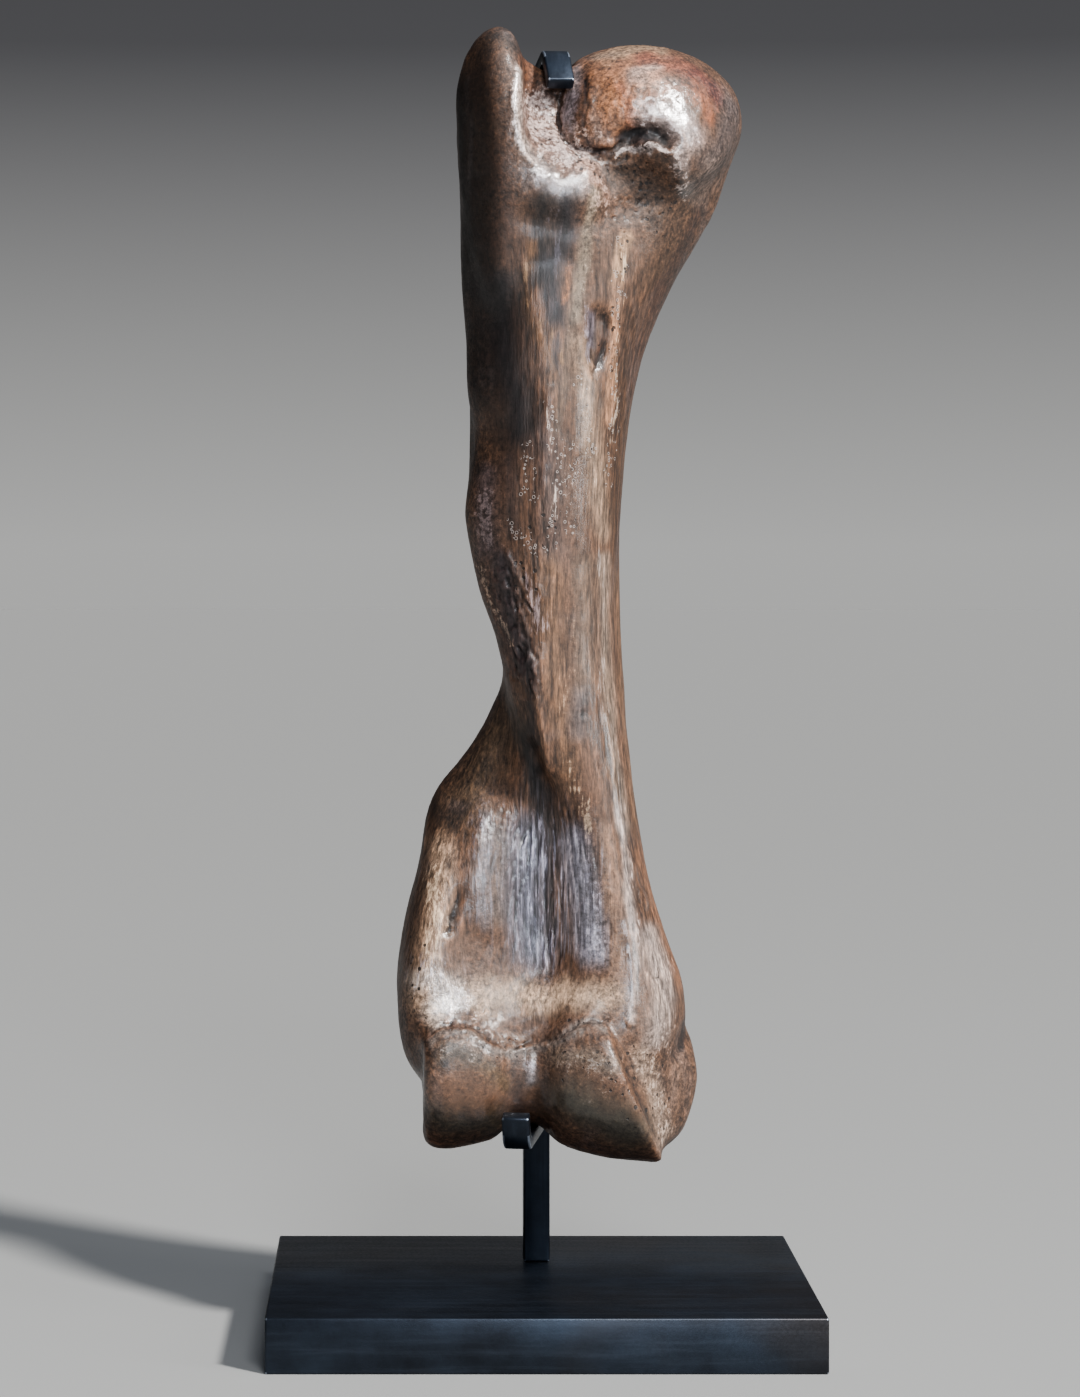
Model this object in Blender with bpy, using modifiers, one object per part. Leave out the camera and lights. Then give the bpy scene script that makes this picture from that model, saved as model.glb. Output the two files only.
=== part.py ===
"""A mammoth's right upper front leg bone (humerus), upright on a stand of blackened steel.

Metres, +Z up. The front of the bone looks along -Y and its head lies towards +X. The origin is
the middle of the underside of the stand's base.
"""

import math

import bmesh
import bpy
import numpy as np
from mathutils import Matrix, Vector

MM = 0.001
GAP = 0.3 * MM  # between pieces that touch

# The stand: the base is a box of welded plate, open underneath, and the rest is bar.
BASE_WIDTH = 400 * MM
BASE_DEPTH = 300 * MM
BASE_HEIGHT = 40 * MM
BASE_WALL = 5 * MM
POST_SIDE = 20 * MM
POST_FRONT_Y = 45.6 * MM
POST_TOP_Z = 850 * MM
HOOK_WIDTH = 20 * MM
HOOK_THICKNESS = 10 * MM
EDGE_ROUND = 1.5 * MM

LOWER_ARM_Z = 152 * MM  # middle of the bar
LOWER_ARM_LENGTH = 120 * MM
LOWER_BEND_RADIUS = 15 * MM
LOWER_TAB_LENGTH = 14 * MM
LOWER_TAB_LEAN = math.radians(22)  # outwards from upright
LOWER_HOOK_TURN = math.radians(-8.4)  # seen from above, towards -X

UPPER_LEG_TOP_Z = 918.5 * MM
UPPER_REAR_RADIUS = 15 * MM
UPPER_RISE = math.radians(15)  # of the strap, towards the front
UPPER_STRAP_LENGTH = 65 * MM
UPPER_FRONT_RADIUS = 12 * MM
UPPER_TAB_LENGTH = 25.5 * MM
UPPER_TAB_LEAN = math.radians(42)
UPPER_HOOK_TURN = math.radians(8)

# The bone. Every length below this line is in millimetres until the mesh is made.
VOXEL = 4.0  # of the mesh that joins the bone's forms
BODY_BLEND = 18  # rounds of relaxing where the masses meet the shaft
PULLEY_BLEND = 5
BONE_FACES = 8600

# The long lines of the shaft, each as (height, x, y) from the knuckle at the foot to the neck.
SHAFT_LINES = {
    "front": [
        (165, 48, -44), (190, 60, -58), (225, 70, -73), (255, 74, -67), (290, 68, -63), (330, 58, -61),
        (400, 40, -58), (450, 30, -57), (500, 27, -56), (600, 28, -59), (690, 30, -61), (770, 34, -61),
        (820, 34, -56), (860, 28, -52), (900, 20, -40),
    ],
    "crest": [
        (165, 20, -40), (190, 38, -55), (225, 44, -72), (255, 46, -66), (290, 43, -59), (330, 35, -56),
        (370, 24, -52), (405, 12, -50), (440, 2, -54), (480, -7, -58), (520, -4, -61), (580, -2, -64),
        (635, 3, -67), (710, 6, -68), (740, 2, -67), (780, -8, -64), (820, -18, -60), (860, -20, -58),
        (900, -20, -45),
    ],
    "lateral": [
        (165, -2, -30), (190, -2, -45), (225, -2, -63), (240, -2, -57), (255, -1, -51), (277, 0, -46),
        (300, 0, -43), (330, 0, -42), (365, -4, -40), (395, -6, -37), (425, -10, -36), (455, -17, -35),
        (487, -25.5, -31), (520, -34, -26), (550, -45, -22), (585, -53, -18), (612, -57, -16),
        (640, -53.5, -14), (668, -49.5, -12), (700, -55, -11), (735, -54.5, -11), (780, -56.5, -10),
        (820, -59, -12), (860, -58, -15), (900, -50, -10),
    ],
    "groove": [
        (165, -40, -34), (190, -52, -50), (225, -55, -71), (240, -54, -63), (255, -52, -55),
        (277, -49, -48), (300, -45, -44), (330, -40, -41), (365, -36, -37), (395, -30, -30),
        (425, -24, -22), (455, -22, -16), (487, -26, -12), (520, -32, -9),
        (550, -42, -6), (612, -54, -1), (668, -49, 1), (735, -55, 3), (820, -59, 6), (900, -52, 10),
    ],
    "column": [
        (165, -58, -20), (190, -76, -48), (225, -84, -69), (240, -86, -67), (255, -87, -63),
        (277, -85, -57), (300, -82, -52), (330, -78, -45), (365, -73, -30), (395, -64, -15),
        (415, -55, -10), (430, -45, -8), (455, -33, -3), (487, -26, 3),
        (520, -31, 3), (612, -51, 7), (735, -53, 11), (820, -58, 16), (900, -50, 18),
    ],
    "flange": [
        (165, -64, 8), (190, -88, 10), (207, -97.5, 11), (225, -102, 12), (255, -104.5, 14),
        (270, -105, 15), (296, -101, 17), (319, -96.5, 18), (340, -90, 18), (361, -86.5, 18),
        (381, -86.5, 18),
        (397, -82, 18), (409, -75.5, 18), (418, -67, 18), (430, -57, 18), (448, -45, 18),
        (469, -34.5, 17),
        (487, -27, 16), (520, -29, 15),
        (612, -47, 16), (735, -50, 20), (820, -55, 26), (900, -46, 28),
    ],
    "back_lateral": [
        (165, -40, 30), (190, -62, 42), (225, -80, 50), (255, -84, 52), (300, -78, 48), (360, -70, 42),
        (400, -62, 38), (425, -46, 38), (455, -33, 36), (487, -21, 34), (612, -30, 34), (735, -34, 36),
        (820, -38, 38), (900, -30, 36),
    ],
    "back": [
        (165, 0, 14), (200, 0, 10), (240, 0, 8), (290, 0, 14), (330, 0, 24), (370, 2, 34), (420, 4, 40),
        (500, 6, 41), (740, 4, 42), (830, 2, 41), (900, 0, 36),
    ],
    "back_medial": [
        (165, 50, 30), (190, 64, 46), (225, 70, 58), (270, 62, 54), (330, 52, 45), (400, 47, 38),
        (500, 42, 35), (600, 42, 36), (680, 44, 42), (740, 48, 51), (800, 60, 61), (850, 70, 70),
        (900, 60, 50),
    ],
    "medial": [
        (165, 78, 6), (190, 98, 8), (225, 110, 4), (255, 110, 2), (280, 101, 2), (306, 91.3, 2),
        (340, 81.7, 1), (373, 75.4, 0), (411, 70, 0), (448, 66, 0), (487, 63.9, 0), (550, 60.6, 0),
        (614, 61.5, 1),
        (647, 64.6, 2), (688, 69.4, 4), (720, 75.9, 7), (756, 88.3, 12), (792, 106, 18), (822, 121, 24),
        (852, 132, 26), (900, 110, 20),
    ],
    "front_medial": [
        (165, 70, -30), (190, 90, -38), (225, 98, -40), (255, 95, -42), (300, 82, -45), (350, 67, -44),
        (420, 57, -42), (500, 50, -38), (600, 50, -37), (690, 57, -37), (740, 66, -36), (790, 84, -36),
        (830, 98, -36), (860, 100, -36), (900, 80, -30),
    ],
}
SHAFT_STEP = 7.0
SPAN_STEPS = 6  # points from one line to the next, round the shaft

# The pulley at the foot: its radius at each distance along its axis, then the places of that axis.
PULLEY_PROFILE = [
    (-84, 0), (-86, 34), (-88, 50), (-85, 57), (-78, 60.5), (-66, 61), (-52, 58), (-38, 54.5),
    (-31, 50.5), (-24, 42.2), (-12, 41), (0, 41.4), (7, 51), (16, 58), (30, 62.5), (45, 66), (60, 68),
    (76, 69.5),
    (90, 71), (100, 71), (100, 0),
]
# The inner end of the pulley is cut aslant: it passes through these two points of (x, z).
PULLEY_CUT = ((52, 222), (90, 135))
PULLEY_Y = -28
PULLEY_Z = 200
PULLEY_STEPS = 72

HEAD_MIDDLE = (75, 20, 905)
HEAD_RADII = (80, 88, 60)

# Rounded masses, each the skin stretched over its balls: (x, y, z, radius). They end inside the shaft.
MASSES = {
    "greater tubercle, top": [(-31.5, -38, 958, 16.5), (-38, -28, 946, 20), (-38, -20, 927, 26)],
    "greater tubercle, front": [
        (-30, -46, 945, 17), (-27, -60, 908, 16), (-24, -60, 876, 16), (-26, -42, 780, 18),
        (-44, -26, 918, 20), (-42, -24, 862, 20),
    ],
    "greater tubercle, back": [
        (-34, -20, 925, 27), (-38, 34, 900, 24), (-30, 12, 760, 20), (-38, -20, 850, 21),
    ],
    "saddle": [
        (-10, -16, 929, 20), (36, -10, 928, 20), (6, 20, 900, 20), (-20, 0, 900, 20), (40, 0, 900, 20),
    ],
    "groove floor": [
        (-14, -50, 858, 21), (28, -49, 856, 22), (6, -20, 906, 18), (12, -26, 896, 18),
        (-2, -40, 780, 22),
        (28, -38, 780, 22),
    ],
    "lesser tubercle": [
        (52, -40, 902, 25), (60, -40, 882, 22), (92, -30, 880, 24), (84, -20, 905, 30),
        (60, -20, 800, 20),
    ],
    "front of the head": [
        (82, -52, 915, 14), (106, -44, 914, 14), (79, -61, 886, 14), (104, -56, 877, 15),
        (102, -45, 858, 14), (88, -40, 862, 12), (123, -27, 884, 22), (70, -20, 890, 20),
    ],
    "under the head": [(117, 20, 886, 32), (106, 24, 850, 31), (70, 30, 850, 36), (70, 14, 770, 20)],
    "inner knuckle": [(87, 6, 188, 34), (84, 22, 206, 34), (82, 2, 166, 33), (50, 0, 250, 30)],
    "inner knuckle, front": [
        (87, 6, 188, 33), (82, 2, 166, 32), (40, -62, 212, 15), (64, -60, 176, 14), (77, -44, 150, 12),
        (66, -44, 250, 16),
    ],
    "outer knuckle": [(-76, 8, 256, 32), (-70, 18, 222, 33), (-62, 26, 275, 26), (-66, 16, 200, 28)],
}

# The way left free for the upper hook: over the notch beside the head, and down behind it.
CHANNELS = {
    "strap": [
        (7, -60, 961.1, 8), (25, -57, 961.1, 8), (-9, 56, 929.5, 8), (9, 59, 929.5, 8),
        (3, -60, 1010, 8), (29, -57, 1010, 8), (-13, 56, 1010, 8), (14, 59, 1010, 8),
    ],
    "tab": [
        (4, -47.5, 928.6, 8), (26, -44.5, 928.6, 8), (4, -32.8, 944.9, 8), (27, -29.8, 944.9, 8),
        (4, -80, 915, 8), (26, -80, 915, 8), (4, -80, 1000, 8), (28, -80, 1000, 8), (28, -30, 1000, 8),
    ],
    "leg": [
        (-9, 52, 830, 8), (9, 55, 830, 8), (-9, 52, 940, 8), (9, 55, 940, 8),
        (-16, 110, 830, 8), (16, 110, 830, 8), (-16, 110, 940, 8), (16, 110, 940, 8),
    ],
}

# Strokes that press into the surface or raise it, as (points of (x, z), reach, depth). Minus raises.
FRONT_STROKES = {
    "groove for the tendon": ([(4, 935), (4, 900)], 24, 5),
    "edge of the tubercle": ([(-18, 932), (-19, 906), (-18, 884), (-10, 868), (2, 856)], 10, -2.5),
    "step under the end": ([(-10, 826), (16, 822), (42, 826)], 14, 2),
    "hollow of the neck": ([(48, 860), (66, 856), (84, 852), (64, 836)], 18, 4),
    "under the rim": (
        [(16, 924), (10, 906), (17, 892), (29, 876), (46, 870), (60, 873), (74, 878)],
        8, 4.5,
    ),
    "rim of the head": ([(34, 918), (28, 902), (34, 890), (46, 883), (56, 884)], 9, -2.5),
    "hollow in the rim": ([(62, 884), (76, 889), (88, 885)], 13, 6.5),
    "long pit": ([(43, 754), (40, 725)], 13, 4.5),
    "roughened crest": ([(6, 700), (4, 650), (1, 600)], 13, -3),
    "blade of the crest": ([(-5, 500), (-4, 470), (0, 448), (6, 424)], 12, -3),
    "hollow behind the crest": ([(-8, 434), (-3, 416), (4, 402)], 13, 5),
    "fossa": ([(0, 372), (0, 320), (2, 282)], 36, 5),
    "left of the fossa": ([(-44, 390), (-46, 350), (-40, 310)], 20, -3),
    "pulley's upper rim": (
        [
            (-82, 233), (-74, 242), (-60, 244), (-46, 239), (-32, 229), (-10, 229), (6, 238), (27, 244),
            (44, 240),
        ],
        11, 3.5,
    ),
    "notch of the inner knuckle": ([(108, 222), (102, 208)], 9, 5),
}
BACK_STROKES = {
    "elbow fossa": ([(0, 300), (0, 262)], 52, 16),
    "step under the head": ([(48, 832), (80, 832), (112, 846)], 24, 4),
    "groove beside the head": ([(4, 905), (4, 870)], 20, 7),
    "back of the flange": ([(-50, 390), (-56, 340)], 22, 4),
}


def clear_scene():
    for thing in list(bpy.data.objects):
        bpy.data.objects.remove(thing)


def new_collection(name):
    collection = bpy.data.collections.new(name)
    bpy.context.scene.collection.children.link(collection)
    return collection


def new_material(name, colour, roughness, metallic):
    material = bpy.data.materials.new(name)
    material.use_nodes = True
    shader = material.node_tree.nodes["Principled BSDF"]
    shader.inputs["Base Color"].default_value = (*colour, 1)
    shader.inputs["Roughness"].default_value = roughness
    shader.inputs["Metallic"].default_value = metallic
    return material


def new_object(name, mesh, collection, material):
    thing = bpy.data.objects.new(name, mesh)
    collection.objects.link(thing)
    mesh.materials.clear()
    mesh.materials.append(material)
    return thing


def finished_mesh(thing):
    """The object's mesh with its modifiers applied, and the object removed."""
    graph = bpy.context.evaluated_depsgraph_get()
    mesh = bpy.data.meshes.new_from_object(thing.evaluated_get(graph))
    bpy.data.objects.remove(thing)
    return mesh


# ---- the stand ----


def rounded(thing, width):
    bevel = thing.modifiers.new("rounded edges", "BEVEL")
    bevel.width = width
    bevel.segments = 2
    bevel.limit_method = "ANGLE"
    bevel.angle_limit = math.radians(40)
    return thing


def block_mesh(name, size, middle):
    mesh = bpy.data.meshes.new(name)
    bm = bmesh.new()
    bmesh.ops.create_cube(bm, size=1, matrix=Matrix.Translation(middle) @ Matrix.Diagonal((*size, 1)))
    bm.to_mesh(mesh)
    bm.free()
    return mesh


def make_base(collection, cutters, material):
    size = (BASE_WIDTH, BASE_DEPTH, BASE_HEIGHT)
    base = new_object("base", block_mesh("base", size, (0, 0, BASE_HEIGHT / 2)), collection, material)
    hollow_size = (BASE_WIDTH - 2 * BASE_WALL, BASE_DEPTH - 2 * BASE_WALL, BASE_HEIGHT)
    hollow_middle = (0, 0, BASE_HEIGHT / 2 - BASE_WALL)
    hollow_mesh = block_mesh("base_hollow", hollow_size, hollow_middle)
    hollow = new_object("base_hollow", hollow_mesh, cutters, material)
    hollow.hide_render = True
    hollow.display_type = "WIRE"
    rounded(base, EDGE_ROUND)
    cut = base.modifiers.new("open underneath", "BOOLEAN")
    cut.operation = "DIFFERENCE"
    cut.object = hollow
    return base


def make_post(collection, material):
    height = POST_TOP_Z - BASE_HEIGHT - GAP
    middle = (0, POST_FRONT_Y + POST_SIDE / 2, BASE_HEIGHT + GAP + height / 2)
    mesh = block_mesh("post", (POST_SIDE, POST_SIDE, height), middle)
    return rounded(new_object("post", mesh, collection, material), EDGE_ROUND)


def bent_line(start, heading, moves):
    """Points of a line in one plane that runs straight and bends: moves are (length, radius, turn)."""
    place, points = Vector(start), [Vector(start)]
    for length, radius, turn in moves:
        place = place + length * Vector((math.cos(heading), math.sin(heading)))
        points.append(place)
        steps = max(1, round(abs(turn) / math.radians(8)))
        for _ in range(steps if turn else 0):
            half = turn / steps / 2
            chord = 2 * radius * abs(math.sin(half))
            place = place + chord * Vector((math.cos(heading + half), math.sin(heading + half)))
            heading += 2 * half
            points.append(place)
    return points


def make_hook(name, line, turn, origin_y, collection, material):
    """A flat bar bent along a line of (distance forwards, height), turned about its root."""
    bm = bmesh.new()
    rows = []
    for forwards, height in line:
        row = [bm.verts.new((side * HOOK_WIDTH / 2, -forwards, height)) for side in (-1, 1)]
        rows.append(row)
    for low, high in zip(rows, rows[1:]):
        bm.faces.new((low[0], low[1], high[1], high[0]))
    spin = Matrix.Translation((0, origin_y, 0)) @ Matrix.Rotation(turn, 4, "Z")
    bmesh.ops.transform(bm, matrix=spin, verts=bm.verts)
    mesh = bpy.data.meshes.new(name)
    bm.to_mesh(mesh)
    bm.free()
    hook = new_object(name, mesh, collection, material)
    wall = hook.modifiers.new("bar thickness", "SOLIDIFY")
    wall.thickness = HOOK_THICKNESS
    wall.offset = 0
    wall.use_even_offset = True
    return rounded(hook, EDGE_ROUND)


def make_lower_hook(collection, material):
    upright = math.radians(90)
    # The bar's square end is turned, so its nearer corner is what meets the post.
    clearance = GAP + HOOK_WIDTH / 2 * abs(math.sin(LOWER_HOOK_TURN))
    line = bent_line(
        (clearance, LOWER_ARM_Z),
        0,
        [
            (LOWER_ARM_LENGTH - clearance, LOWER_BEND_RADIUS, upright - LOWER_TAB_LEAN),
            (LOWER_TAB_LENGTH, 0, 0),
        ],
    )
    return make_hook("lower_hook", line, LOWER_HOOK_TURN, POST_FRONT_Y, collection, material)


def make_upper_hook(collection, material):
    upright = math.radians(90)
    line = bent_line(
        (0, POST_TOP_Z + GAP),
        upright,
        [
            (UPPER_LEG_TOP_Z - POST_TOP_Z - GAP, UPPER_REAR_RADIUS, UPPER_RISE - upright),
            (UPPER_STRAP_LENGTH, UPPER_FRONT_RADIUS, UPPER_TAB_LEAN - upright - UPPER_RISE),
            (UPPER_TAB_LENGTH, 0, 0),
        ],
    )
    middle_of_post = POST_FRONT_Y + POST_SIDE / 2
    return make_hook("upper_hook", line, UPPER_HOOK_TURN, middle_of_post, collection, material)


# ---- the bone ----


def curve_through(knots, places):
    """Values at the given places on a curve through (place, value, ...) knots, with no corners."""
    knots = np.array(knots, float)
    at, values = knots[:, 0], knots[:, 1:]
    slopes = np.gradient(values, at, axis=0)
    index = np.clip(np.searchsorted(at, places) - 1, 0, len(at) - 2)
    span = at[index + 1] - at[index]
    t = ((places - at[index]) / span)[:, None]
    span = span[:, None]
    return (
        (2 * t**3 - 3 * t**2 + 1) * values[index]
        + (t**3 - 2 * t**2 + t) * span * slopes[index]
        + (3 * t**2 - 2 * t**3) * values[index + 1]
        + (t**3 - t**2) * span * slopes[index + 1]
    )


def closed_curve_through(points):
    """A smooth ring through points, with SPAN_STEPS points from each to the next."""
    wrapped = np.concatenate([points[-3:], points, points[:3]])
    at = np.concatenate([[0], np.cumsum(np.linalg.norm(np.diff(wrapped, axis=0), axis=1))])
    first = 3
    spans = zip(at[first:], at[first + 1 : first + 1 + len(points)])
    places = np.concatenate([np.linspace(a, b, SPAN_STEPS, endpoint=False) for a, b in spans])
    return curve_through(np.column_stack([at, wrapped]), places)


def add_shaft(bm):
    """The loft whose rings pass through all the shaft's long lines."""
    low = max(line[0][0] for line in SHAFT_LINES.values())
    high = min(line[-1][0] for line in SHAFT_LINES.values())
    heights = np.linspace(low, high, round((high - low) / SHAFT_STEP) + 1)
    lines = [curve_through(line, heights) for line in SHAFT_LINES.values()]
    rings = []
    for row, height in enumerate(heights):
        ring = closed_curve_through(np.array([line[row] for line in lines]))
        rings.append([bm.verts.new((x, y, height)) for x, y in ring])
    for lower, upper in zip(rings, rings[1:]):
        for i in range(len(lower)):
            bm.faces.new((lower[i - 1], lower[i], upper[i], upper[i - 1]))
    bm.faces.new(rings[0])
    bm.faces.new(reversed(rings[-1]))


def add_pulley(bm):
    """The turned form at the foot, with its groove for the forearm."""
    profile = [bm.verts.new((along, 0, radius)) for along, radius in PULLEY_PROFILE]
    edges = [bm.edges.new(pair) for pair in zip(profile, profile[1:])]
    before = set(bm.verts) - set(profile)
    bmesh.ops.spin(
        bm, geom=profile + edges, cent=(0, 0, 0), axis=(1, 0, 0), angle=math.tau, steps=PULLEY_STEPS,
        use_merge=True,
    )
    made = [v for v in bm.verts if v not in before]
    bmesh.ops.remove_doubles(bm, verts=made, dist=0.01)
    made = [v for v in bm.verts if v not in before]
    bmesh.ops.translate(bm, verts=made, vec=(0, PULLEY_Y, PULLEY_Z))
    (high_x, high_z), (low_x, low_z) = PULLEY_CUT
    outwards = Vector((high_z - low_z, 0, low_x - high_x)).normalized()
    faces = [f for f in bm.faces if all(v not in before for v in f.verts)]
    parts = made + list({e for f in faces for e in f.edges}) + faces
    cut = bmesh.ops.bisect_plane(
        bm, geom=parts, plane_co=(high_x, 0, high_z), plane_no=outwards, clear_outer=True, dist=1e-4
    )
    rim = [g for g in cut["geom_cut"] if isinstance(g, bmesh.types.BMEdge)]
    bmesh.ops.edgeloop_fill(bm, edges=rim)


def add_head(bm):
    place = Matrix.Translation(HEAD_MIDDLE) @ Matrix.Diagonal((*HEAD_RADII, 1))
    bmesh.ops.create_uvsphere(bm, u_segments=64, v_segments=40, radius=1, matrix=place)


def add_mass(bm, balls):
    """The skin stretched over balls."""
    skin = bmesh.new()
    for x, y, z, radius in balls:
        place = Matrix.Translation((x, y, z))
        bmesh.ops.create_icosphere(skin, subdivisions=3, radius=radius, matrix=place)
    bmesh.ops.delete(skin, geom=list(skin.edges), context="EDGES_FACES")
    hull = bmesh.ops.convex_hull(skin, input=skin.verts)
    inside = {g for g in hull["geom_interior"] + hull["geom_unused"] if isinstance(g, bmesh.types.BMVert)}
    bmesh.ops.delete(skin, geom=list(inside), context="VERTS")
    bmesh.ops.recalc_face_normals(skin, faces=skin.faces)
    mesh = bpy.data.meshes.new("mass")
    skin.to_mesh(mesh)
    skin.free()
    bm.from_mesh(mesh)
    bpy.data.meshes.remove(mesh)


def read_points(mesh):
    points = np.empty(len(mesh.vertices) * 3, np.float32)
    mesh.vertices.foreach_get("co", points)
    normals = np.empty(len(mesh.vertices) * 3, np.float32)
    mesh.vertex_normals.foreach_get("vector", normals)
    return points.reshape(-1, 3).astype(float), normals.reshape(-1, 3).astype(float)


def write_points(mesh, points):
    mesh.vertices.foreach_set("co", points.astype(np.float32).ravel())
    mesh.update()


def distance_to(path, spots):
    """How far each spot lies from a line of straight stretches."""
    nearest = np.full(len(spots), np.inf)
    for start, end in zip(np.array(path, float), np.array(path[1:], float)):
        run = end - start
        along = np.clip((spots - start) @ run / (run @ run), 0, 1)
        nearest = np.minimum(nearest, np.linalg.norm(spots - start - along[:, None] * run, axis=1))
    return nearest


def stroke(points, normals, strokes, facing):
    """Presses strokes drawn on the front (facing -1) or the back (+1) into the surface there."""
    turned = np.clip(normals[:, 1] * facing * 2.5, 0, 1)
    side = points[:, 1] * facing > -25
    moved = points.copy()
    for path, reach, depth in strokes.values():
        near = np.clip(1 - distance_to(path, points[:, [0, 2]]) / reach, 0, 1)
        amount = depth * near**2 * (3 - 2 * near) * turned * side
        moved -= normals * amount[:, None]
    return moved


def melted(bm, collection, material, rounds, channels=()):
    """The closed forms in bm joined into one relaxed skin, then cut by the channels."""
    bmesh.ops.recalc_face_normals(bm, faces=bm.faces)
    rough = bpy.data.meshes.new("forms")
    bm.to_mesh(rough)
    bm.free()
    forms = new_object("forms", rough, collection, material)
    joined = forms.modifiers.new("join the forms", "REMESH")
    joined.mode = "VOXEL"
    joined.voxel_size = VOXEL
    relax = forms.modifiers.new("blend the forms", "SMOOTH")
    relax.factor = 0.5
    relax.iterations = rounds
    cutters = []
    for balls in channels:
        shape = bmesh.new()
        add_mass(shape, balls)
        mesh = bpy.data.meshes.new("channel")
        shape.to_mesh(mesh)
        shape.free()
        cutters.append(new_object("channel", mesh, collection, material))
        cut = forms.modifiers.new("channel", "BOOLEAN")
        cut.operation = "DIFFERENCE"
        cut.object = cutters[-1]
    mesh = finished_mesh(forms)
    for cutter in cutters:
        bpy.data.objects.remove(cutter)
    return mesh


def make_bone(collection, material):
    bm = bmesh.new()
    add_shaft(bm)
    add_head(bm)
    for balls in MASSES.values():
        add_mass(bm, balls)
    body = melted(bm, collection, material, BODY_BLEND, CHANNELS.values())

    bm = bmesh.new()
    bm.from_mesh(body)
    add_pulley(bm)
    mesh = melted(bm, collection, material, PULLEY_BLEND)
    mesh.name = "bone"

    points, normals = read_points(mesh)
    write_points(mesh, stroke(points, normals, FRONT_STROKES, -1))
    points, normals = read_points(mesh)
    write_points(mesh, stroke(points, normals, BACK_STROKES, 1))
    mesh.transform(Matrix.Scale(MM, 4))
    mesh.shade_smooth()

    bone = new_object("bone", mesh, collection, material)
    fewer = bone.modifiers.new("fewer faces", "DECIMATE")
    mesh.calc_loop_triangles()
    fewer.ratio = BONE_FACES / len(mesh.loop_triangles)
    return bone


def main():
    clear_scene()
    parts = new_collection("mammoth_leg_bone")
    cutters = new_collection("cutters")
    steel = new_material("blackened_steel", (0.035, 0.042, 0.055), 0.38, 0.9)
    fossil = new_material("fossil_bone", (0.33, 0.2, 0.13), 0.35, 0.0)
    make_base(parts, cutters, steel)
    make_post(parts, steel)
    make_lower_hook(parts, steel)
    make_upper_hook(parts, steel)
    make_bone(parts, fossil)


main()
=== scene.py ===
import math
import random

import bpy
import numpy as np
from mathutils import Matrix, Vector, noise


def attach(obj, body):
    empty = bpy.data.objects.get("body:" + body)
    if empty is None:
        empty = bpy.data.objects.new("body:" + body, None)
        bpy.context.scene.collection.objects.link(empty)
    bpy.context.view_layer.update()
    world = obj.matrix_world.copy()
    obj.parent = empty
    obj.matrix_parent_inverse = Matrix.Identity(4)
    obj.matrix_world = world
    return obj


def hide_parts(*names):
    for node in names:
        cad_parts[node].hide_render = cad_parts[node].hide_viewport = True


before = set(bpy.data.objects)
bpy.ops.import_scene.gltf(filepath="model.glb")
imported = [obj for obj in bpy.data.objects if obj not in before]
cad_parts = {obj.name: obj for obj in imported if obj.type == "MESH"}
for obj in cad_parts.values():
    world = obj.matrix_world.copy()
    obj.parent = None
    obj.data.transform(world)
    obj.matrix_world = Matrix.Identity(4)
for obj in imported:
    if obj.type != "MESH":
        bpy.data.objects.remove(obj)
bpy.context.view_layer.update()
scene = bpy.context.scene
MM = 0.001


# ---- the steel pieces of the stand ----
# The base, the post and the two hooks are hot-rolled steel, welded, ground, blackened with a cold
# patina and waxed. The blue-black is thinner on the edges, where the metal shows, and it is streaked
# along the bars where the patina ran.


def only(thing):
    """Leaves one object selected and active."""
    bpy.ops.object.select_all(action="DESELECT")
    thing.select_set(True)
    bpy.context.view_layer.objects.active = thing


def copy_of_node(node, name):
    """A separate object with the node's shape, its corners merged."""
    piece = bpy.data.objects.new(name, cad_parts[node].data.copy())
    scene.collection.objects.link(piece)
    only(piece)
    bpy.ops.object.mode_set(mode="EDIT")
    bpy.ops.mesh.select_all(action="SELECT")
    bpy.ops.mesh.remove_doubles(threshold=0.00002)
    bpy.ops.object.mode_set(mode="OBJECT")
    return piece


def apply_modifiers(piece):
    only(piece)
    for modifier in list(piece.modifiers):
        bpy.ops.object.modifier_apply(modifier=modifier.name)


def shade(red, green, blue):
    """A colour of a paint card, 0 to 255, as the shader's linear values."""
    values = [c / 255 for c in (red, green, blue)]
    return tuple(c / 12.92 if c <= 0.04045 else ((c + 0.055) / 1.055) ** 2.4 for c in values)


def node_maker(material):
    """Returns (add, link) for a material's nodes, with its old nodes gone."""
    material.use_nodes = True
    tree = material.node_tree
    tree.nodes.clear()

    def add(kind, **settings):
        node = tree.nodes.new(kind)
        for key, value in settings.items():
            if hasattr(node, key):
                setattr(node, key, value)
            else:
                node.inputs[key.replace("_", " ")].default_value = value
        return node

    return add, tree.links.new


def blend_colours(add, link, kind, factor, first, second):
    """A colour mix: each of the three is a socket or a plain value."""
    mix = add("ShaderNodeMix", data_type="RGBA", blend_type=kind)
    mix.clamp_factor = True
    for socket, value in zip((mix.inputs[0], mix.inputs[6], mix.inputs[7]), (factor, first, second)):
        if isinstance(value, bpy.types.NodeSocket):
            link(value, socket)
        elif isinstance(value, tuple):
            socket.default_value = (*value, 1)
        else:
            socket.default_value = value
    return mix.outputs[2]


def stretch(add, link, value, low, high, new_low, new_high):
    """Maps low to high onto new_low to new_high, and holds the ends."""
    ranged = add("ShaderNodeMapRange")
    link(value, ranged.inputs[0])
    for socket, number in zip(ranged.inputs[1:5], (low, high, new_low, new_high)):
        socket.default_value = number
    return ranged.outputs[0]


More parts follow.
